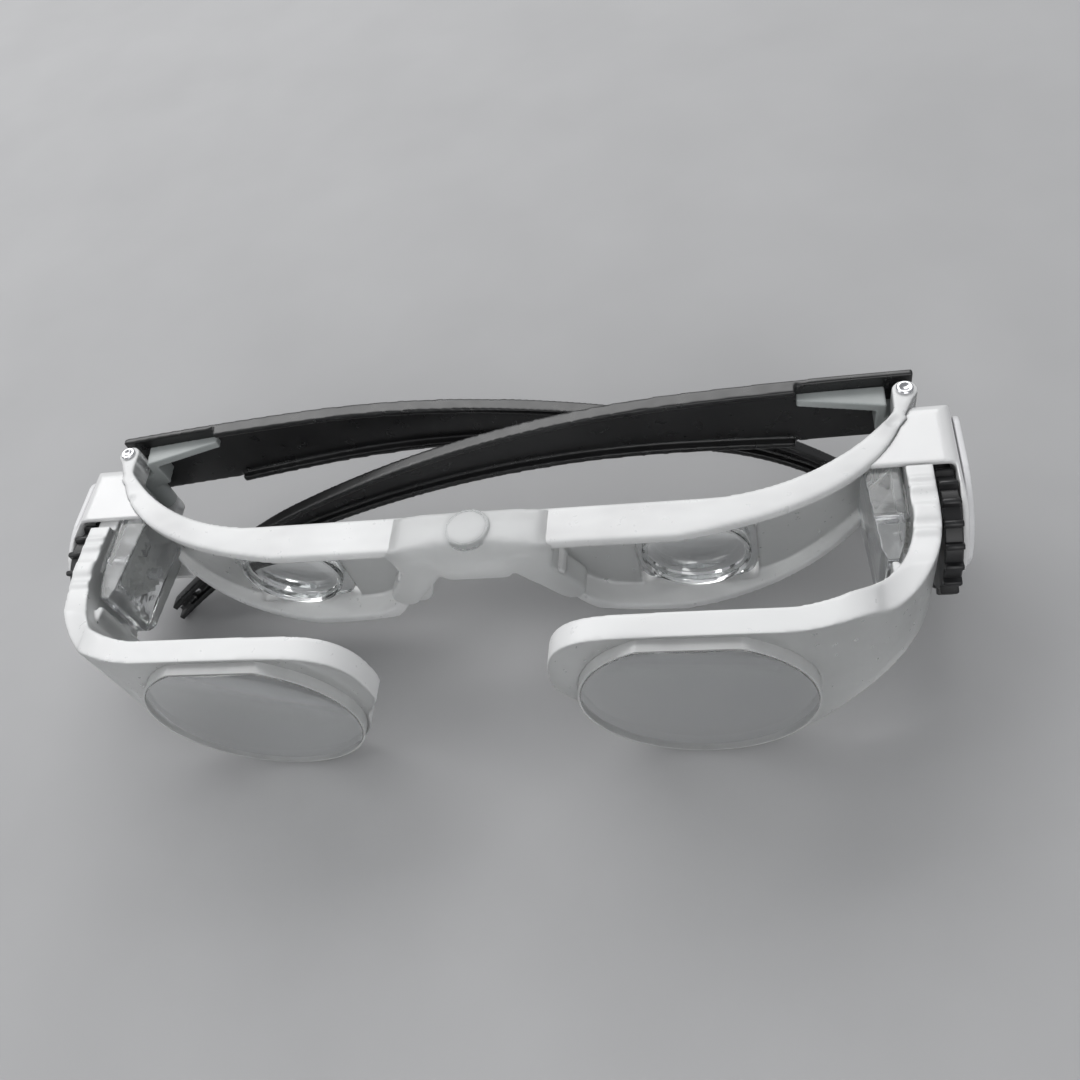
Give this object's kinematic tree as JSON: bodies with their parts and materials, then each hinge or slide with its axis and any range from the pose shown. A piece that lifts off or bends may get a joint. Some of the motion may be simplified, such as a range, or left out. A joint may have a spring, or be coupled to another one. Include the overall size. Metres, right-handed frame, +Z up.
{
  "type": "spectacle magnifier",
  "caption": "Telescopic spectacle magnifier: lenses on curved arms slide in front of a spectacle frame by side focus wheels; black temples fold.",
  "frame": {"origin": "on the surface that the folded object rests on, below the middle of its width and depth", "axes": "+X across the face to the wearer's left, -Y out of the front, +Z up"},
  "size_m": [0.1386, 0.0539, 0.032],
  "materials": {
    "frosted_plastic": "frosted, translucent",
    "clear_plastic": "clear, glossy",
    "lens": "clear, polished",
    "silicone": "soft, milky",
    "white_cover": "glossy",
    "white_plate": "satin",
    "black_wheel": "matt, ribbed",
    "black_temple": "satin",
    "grey_insert": "satin",
    "drive_plastic": "natural",
    "steel": "bright"
  },
  "bodies": {
    "front": {"front_frame": "frosted_plastic", "nose_saddle": "silicone", "cover_screws": "steel", "left_ocular_lens": "lens", "right_ocular_lens": "lens", "left_slide_guide": "clear_plastic", "right_slide_guide": "clear_plastic", "left_side_cover": "white_cover", "right_side_cover": "white_cover", "left_badge_plate": "white_plate", "right_badge_plate": "white_plate", "left_wheel_axle": "steel", "right_wheel_axle": "steel", "left_hinge_pin": "steel", "right_hinge_pin": "steel"},
    "left_lens_carriage": {"left_lens_arm": "frosted_plastic", "left_focus_rack": "drive_plastic", "left_objective_lens": "lens"},
    "left_wheel": {"left_focus_wheel": "black_wheel", "left_focus_pinion": "drive_plastic"},
    "left_temple_arm": {"left_temple": "black_temple", "left_hinge_insert": "grey_insert"},
    "right_lens_carriage": {"right_lens_arm": "frosted_plastic", "right_focus_rack": "drive_plastic", "right_objective_lens": "lens"},
    "right_wheel": {"right_focus_wheel": "black_wheel", "right_focus_pinion": "drive_plastic"},
    "right_temple_arm": {"right_temple": "black_temple", "right_hinge_insert": "grey_insert"}
  },
  "joints": [
    {"name": "right_focus_slide", "type": "slide", "parent": "front", "child": "right_lens_carriage", "axis": [0, -1, 0], "range_m": [0, 0.005]},
    {"name": "right_wheel_turn", "type": "hinge", "parent": "front", "child": "right_wheel", "pos_m": [0.066, 0.00135, 0.0165], "axis": [1, 0, 0], "range_deg": [-0.3, 106.4]},
    {"name": "right_temple_fold", "type": "hinge", "parent": "front", "child": "right_temple_arm", "pos_m": [0.0625, 0.01914, 0.0165], "axis": [0, 0, -1], "range_deg": [0, 92]},
    {"name": "left_focus_slide", "type": "slide", "parent": "front", "child": "left_lens_carriage", "axis": [0, -1, 0], "range_m": [-0.0013, 0.0037]},
    {"name": "left_wheel_turn", "type": "hinge", "parent": "front", "child": "left_wheel", "pos_m": [-0.066, 0.00135, 0.0165], "axis": [1, 0, 0], "range_deg": [-27.89, 78.82]},
    {"name": "left_temple_fold", "type": "hinge", "parent": "front", "child": "left_temple_arm", "pos_m": [-0.0625, 0.01914, 0.0165], "axis": [0, 0, 1], "range_deg": [0, 84.5]}
  ],
  "couplings": [
    {"joint": "right_wheel_turn", "follows": "right_focus_slide", "rad_per_m": 370.37},
    {"joint": "left_wheel_turn", "follows": "left_focus_slide", "rad_per_m": 370.37}
  ]
}
